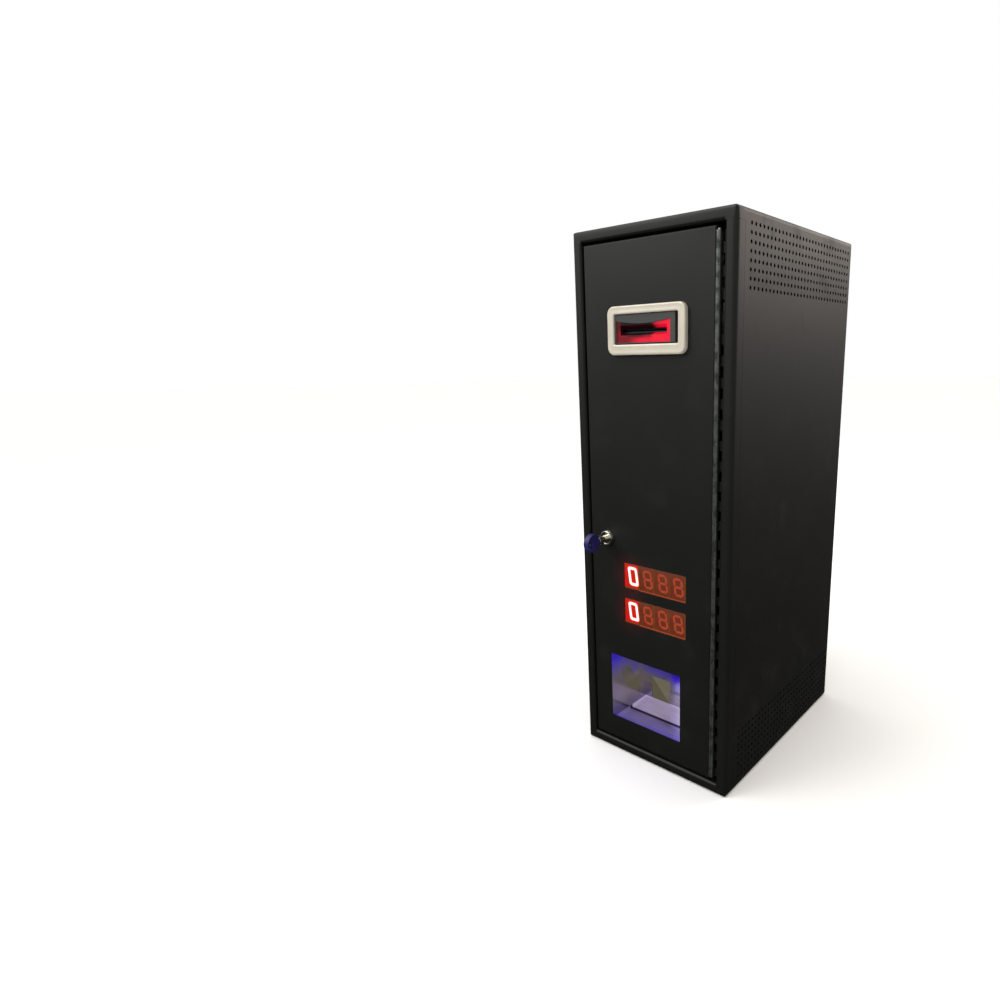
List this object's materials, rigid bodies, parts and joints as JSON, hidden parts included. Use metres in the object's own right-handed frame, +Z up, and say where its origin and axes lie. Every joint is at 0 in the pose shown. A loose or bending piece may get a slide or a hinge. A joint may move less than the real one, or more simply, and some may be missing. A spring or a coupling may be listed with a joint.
{
  "type": "bill validator cabinet",
  "caption": "Upright black steel cabinet with a lit banknote mouth, key lock, numeric displays and a lit coin tray in a hinged door, with validator, stacker and coin hopper inside.",
  "frame": {"origin": "centre of the cabinet's underside, on the floor", "axes": "+Z up, +X to the right seen from the front, +Y to the back; the door is on the -Y side"},
  "size_m": [0.2, 0.3196, 0.6],
  "materials": {
    "black_powder_coat": "fine-textured black powder coat, satin",
    "hinge_steel": "blackened steel, worn brighter on the knuckles",
    "zinc_steel": "bright zinc-plated sheet",
    "lock_chrome": "polished chrome",
    "key_plastic": "dark blue moulded, satin",
    "bezel_silver": "satin silver casting",
    "shroud_grey": "dark grey moulded",
    "lens_red": "translucent red, lit from behind",
    "validator_black": "black moulded, fine texture",
    "validator_grey": "dark grey moulded",
    "roller_rubber": "soft rubber",
    "steel_shaft": "ground steel",
    "belt_rubber": "moulded drive belt",
    "motor_can": "plated motor can",
    "pusher_plastic": "white-grey moulded",
    "display_red": "orange-red filter over numerals",
    "circuit_green": "green solder mask",
    "tray_stainless": "stainless, brushed",
    "led_blue": "blue light strip",
    "hopper_black": "black moulded, fine texture",
    "hopper_yellow": "yellow moulded",
    "disc_bronze": "bronze-coloured disc",
    "gear_acetal": "natural acetal",
    "socket_black": "black moulded",
    "rocker_red": "red translucent rocker",
    "supply_metal": "plain sheet aluminium",
    "brass_spacer": "turned brass"
  },
  "bodies": {
    "cabinet": {"left_side_panel": "black_powder_coat", "right_side_panel": "black_powder_coat", "top_panel": "black_powder_coat", "bottom_panel": "black_powder_coat", "back_panel": "black_powder_coat", "frame_left_stile": "black_powder_coat", "frame_right_stile": "black_powder_coat", "frame_top_rail": "black_powder_coat", "frame_bottom_rail": "black_powder_coat", "hinge_frame_leaf": "hinge_steel", "hinge_pin": "steel_shaft", "power_inlet": "socket_black", "switch_housing": "socket_black", "power_supply": "supply_metal", "control_board": "circuit_green", "board_spacers": "brass_spacer", "hopper_base": "zinc_steel", "coin_chute": "zinc_steel", "cabinet_screws": "zinc_steel"},
    "switch": {"switch_rocker": "rocker_red"},
    "hopper": {"hopper_bowl": "hopper_black", "hopper_middle": "hopper_yellow", "hopper_cover": "hopper_black", "hopper_motor": "motor_can", "hopper_screws": "zinc_steel"},
    "coin_wheel": {"hopper_disc": "disc_bronze", "hopper_wheel_gear": "gear_acetal"},
    "pinion": {"hopper_pinion": "gear_acetal"},
    "door": {"door_panel": "black_powder_coat", "hinge_door_leaf": "hinge_steel", "lock_barrel": "lock_chrome", "lock_nut": "zinc_steel", "mouth_bezel": "bezel_silver", "mouth_shroud": "shroud_grey", "mouth_lens": "lens_red", "validator_bracket": "zinc_steel", "validator_lower": "validator_black", "feed_belt": "belt_rubber", "feed_motor": "motor_can", "stacker_frame": "validator_black", "display_upper": "display_red", "display_lower": "display_red", "display_board": "circuit_green", "coin_tray": "tray_stainless", "tray_led_strip": "led_blue", "door_nuts": "zinc_steel"},
    "lock": {"lock_plug": "lock_chrome", "lock_cam": "zinc_steel"},
    "key": {"key_shaft": "lock_chrome", "key_head": "key_plastic"},
    "lid": {"validator_lid": "validator_grey"},
    "feed_front": {"feed_shaft_front": "steel_shaft", "feed_rollers_front": "roller_rubber"},
    "feed_rear": {"feed_shaft_rear": "steel_shaft", "feed_rollers_rear": "roller_rubber"},
    "idler_front": {"idler_rollers_front": "validator_grey"},
    "idler_rear": {"idler_rollers_rear": "validator_grey"},
    "pusher": {"bill_pusher": "pusher_plastic"},
    "cash_box": {"bill_box": "validator_black"},
    "spring_plate": {"pressure_plate": "zinc_steel"}
  },
  "joints": [
    {"name": "door_swing", "type": "hinge", "parent": "cabinet", "child": "door", "pos_m": [0.081, -0.1385, 0.3], "axis": [0, 0, 1], "range_deg": [0, 120]},
    {"name": "lock_turn", "type": "hinge", "parent": "door", "child": "lock", "pos_m": [-0.0615, -0.13, 0.269], "axis": [0, 1, 0], "range_deg": [0, 90]},
    {"name": "key_pull", "type": "slide", "parent": "lock", "child": "key", "axis": [0, -1, 0], "range_m": [0, 0.02]},
    {"name": "head_open", "type": "hinge", "parent": "door", "child": "lid", "pos_m": [-0.0026, -0.082, 0.474], "axis": [-1, 0, 0], "range_deg": [0, 70]},
    {"name": "feed_front_spin", "type": "hinge", "parent": "door", "child": "feed_front", "pos_m": [-0.0056, -0.12, 0.488], "axis": [-1, 0, 0], "continuous": true},
    {"name": "feed_rear_spin", "type": "hinge", "parent": "door", "child": "feed_rear", "pos_m": [-0.0056, -0.1, 0.488], "axis": [-1, 0, 0], "continuous": true},
    {"name": "idler_front_spin", "type": "hinge", "parent": "lid", "child": "idler_front", "pos_m": [-0.0056, -0.12, 0.5015], "axis": [-1, 0, 0], "continuous": true},
    {"name": "idler_rear_spin", "type": "hinge", "parent": "lid", "child": "idler_rear", "pos_m": [-0.0056, -0.1, 0.5015], "axis": [-1, 0, 0], "continuous": true},
    {"name": "pusher_slide", "type": "slide", "parent": "door", "child": "pusher", "axis": [0, 1, 0], "range_m": [0, 0.012]},
    {"name": "box_open", "type": "hinge", "parent": "door", "child": "cash_box", "pos_m": [-0.0026, -0.0907, 0.3], "axis": [-1, 0, 0], "range_deg": [0, 80]},
    {"name": "plate_slide", "type": "slide", "parent": "cash_box", "child": "spring_plate", "axis": [0, 1, 0], "range_m": [0, 0.012]},
    {"name": "hopper_release", "type": "slide", "parent": "cabinet", "child": "hopper", "axis": [0, 1, 0], "range_m": [0, 0.01]},
    {"name": "coin_wheel_spin", "type": "hinge", "parent": "hopper", "child": "coin_wheel", "pos_m": [0.01, 0.031, 0.1043], "axis": [1, 0, 0], "continuous": true},
    {"name": "pinion_spin", "type": "hinge", "parent": "hopper", "child": "pinion", "pos_m": [0.005, 0.031, 0.0593], "axis": [1, 0, 0], "continuous": true},
    {"name": "switch_rock", "type": "hinge", "parent": "cabinet", "child": "switch", "pos_m": [0.074, 0.1385, 0.096], "axis": [1, 0, 0], "range_deg": [0, 20]}
  ],
  "couplings": [
    {"joint": "feed_rear_spin", "follows": "feed_front_spin", "ratio": 1},
    {"joint": "idler_front_spin", "follows": "feed_front_spin", "ratio": -1.64},
    {"joint": "idler_rear_spin", "follows": "feed_front_spin", "ratio": -1.64},
    {"joint": "plate_slide", "follows": "pusher_slide", "ratio": 1},
    {"joint": "pinion_spin", "follows": "coin_wheel_spin", "ratio": -4}
  ]
}
